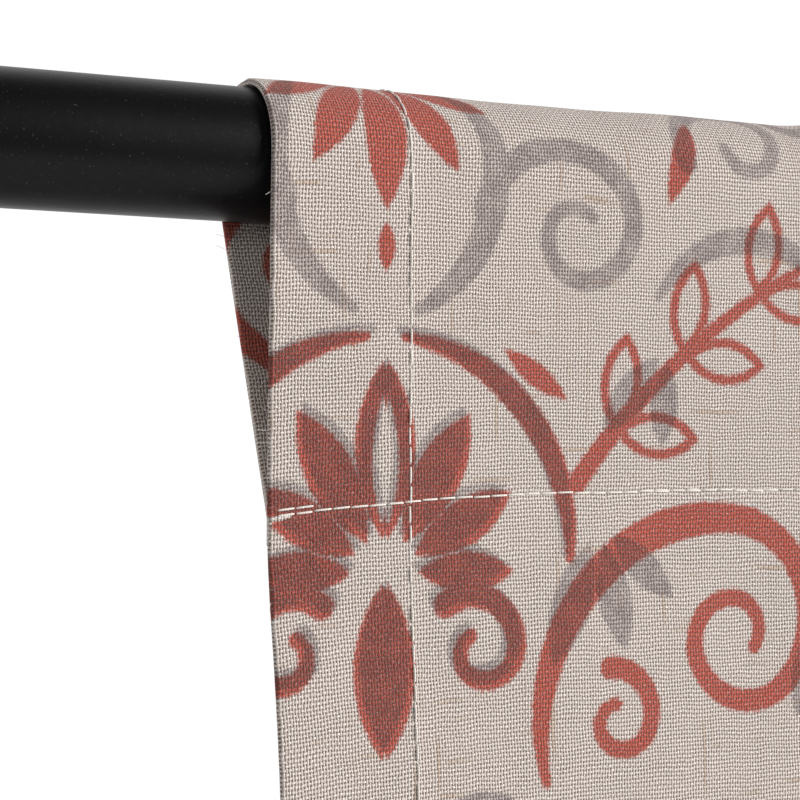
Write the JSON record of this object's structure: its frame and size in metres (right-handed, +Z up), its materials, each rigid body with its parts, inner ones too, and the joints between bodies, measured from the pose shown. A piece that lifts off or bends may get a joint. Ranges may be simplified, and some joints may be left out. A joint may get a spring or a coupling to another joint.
{
  "type": "curtain pair on rod",
  "caption": "Rod-pocket curtain panels with a damask print on a telescoping black rod with ball finials, wall brackets and thumb screws.",
  "frame": {"origin": "centre of the middle bracket's wall face", "axes": "+X along the rod to the right, +Y into the wall, +Z up"},
  "size_m": [2.1636, 0.1172, 1.6043],
  "materials": {
    "rod": "black semi-gloss enamel",
    "bracket": "black satin enamel",
    "screw": "black oxide",
    "knob": "moulded black",
    "cloth": "open plain weave, printed damask in coral and grey",
    "hem": "the same cloth folded under",
    "thread": "cream sewing thread"
  },
  "bodies": {
    "rod_and_brackets": {"rod_outer_tube": "rod", "finial_insert_left": "rod", "bracket_plate_left": "bracket", "bracket_arm_left": "bracket", "bracket_cradle_left": "bracket", "wall_screw_left_upper": "screw", "wall_screw_left_lower": "screw", "bracket_plate_centre": "bracket", "bracket_arm_centre": "bracket", "bracket_cradle_centre": "bracket", "wall_screw_centre_upper": "screw", "wall_screw_centre_lower": "screw", "bracket_plate_right": "bracket", "bracket_arm_right": "bracket", "bracket_cradle_right": "bracket", "wall_screw_right_upper": "screw", "wall_screw_right_lower": "screw"},
    "rod_extension": {"rod_inner_tube": "rod", "finial_insert_right": "rod"},
    "finial_left": {"finial_left": "rod"},
    "finial_right": {"finial_right": "rod"},
    "thumb_shank_left": {"thumb_screw_shank_left": "screw"},
    "thumb_knob_left": {"thumb_screw_knob_left": "knob"},
    "panel_left": {"rod_pocket_left": "cloth", "face_cloth_left": "cloth", "side_hem_outer_left": "hem", "bottom_hem_left": "hem", "pocket_stitching_left": "thread", "side_stitching_left": "thread", "bottom_stitching_left": "thread"},
    "leading_edge_left": {"rod_pocket_leading_left": "cloth", "side_hem_leading_left": "hem"},
    "thumb_shank_right": {"thumb_screw_shank_right": "screw"},
    "thumb_knob_right": {"thumb_screw_knob_right": "knob"},
    "panel_right": {"rod_pocket_right": "cloth", "face_cloth_right": "cloth", "side_hem_outer_right": "hem", "bottom_hem_right": "hem", "pocket_stitching_right": "thread", "side_stitching_right": "thread", "bottom_stitching_right": "thread"},
    "leading_edge_right": {"rod_pocket_leading_right": "cloth", "side_hem_leading_right": "hem"}
  },
  "joints": [
    {"name": "rod_extension_slide", "type": "slide", "parent": "rod_and_brackets", "child": "rod_extension", "axis": [1, 0, 0], "range_m": [-0.015, 0.16]},
    {"name": "finial_left_turn", "type": "hinge", "parent": "rod_and_brackets", "child": "finial_left", "pos_m": [-1.02, -0.09, 0.0172], "axis": [-1, 0, 0], "continuous": true},
    {"name": "finial_right_turn", "type": "hinge", "parent": "rod_extension", "child": "finial_right", "pos_m": [1.02, -0.09, 0.0172], "axis": [1, 0, 0], "continuous": true},
    {"name": "thumb_left_travel", "type": "slide", "parent": "rod_and_brackets", "child": "thumb_shank_left", "axis": [0, -1, 0], "range_m": [0, 0.003]},
    {"name": "thumb_left_turn", "type": "hinge", "parent": "thumb_shank_left", "child": "thumb_knob_left", "pos_m": [-0.98, -0.09, 0.0172], "axis": [0, -1, 0], "range_deg": [0, 1351]},
    {"name": "panel_left_swing", "type": "hinge", "parent": "rod_and_brackets", "child": "panel_left", "pos_m": [-0.9, -0.09, 0.0172], "axis": [-1, 0, 0], "range_deg": [-2.5, 20]},
    {"name": "panel_left_draw", "type": "slide", "parent": "panel_left", "child": "leading_edge_left", "axis": [-1, 0, 0], "range_m": [0, 0.585], "deforming": ["rod_pocket_left", "face_cloth_left", "bottom_hem_left", "pocket_stitching_left", "bottom_stitching_left"]},
    {"name": "thumb_right_travel", "type": "slide", "parent": "rod_and_brackets", "child": "thumb_shank_right", "axis": [0, -1, 0], "range_m": [0, 0.003]},
    {"name": "thumb_right_turn", "type": "hinge", "parent": "thumb_shank_right", "child": "thumb_knob_right", "pos_m": [0.98, -0.09, 0.0172], "axis": [0, -1, 0], "range_deg": [0, 1351]},
    {"name": "panel_right_swing", "type": "hinge", "parent": "rod_and_brackets", "child": "panel_right", "pos_m": [0.9, -0.09, 0.0172], "axis": [-1, 0, 0], "range_deg": [-2.5, 20]},
    {"name": "panel_right_draw", "type": "slide", "parent": "panel_right", "child": "leading_edge_right", "axis": [1, 0, 0], "range_m": [0, 0.585], "deforming": ["rod_pocket_right", "face_cloth_right", "bottom_hem_right", "pocket_stitching_right", "bottom_stitching_right"]}
  ],
  "couplings": [
    {"joint": "thumb_left_turn", "follows": "thumb_left_travel", "rad_per_m": 7854},
    {"joint": "thumb_right_turn", "follows": "thumb_right_travel", "rad_per_m": 7854}
  ]
}
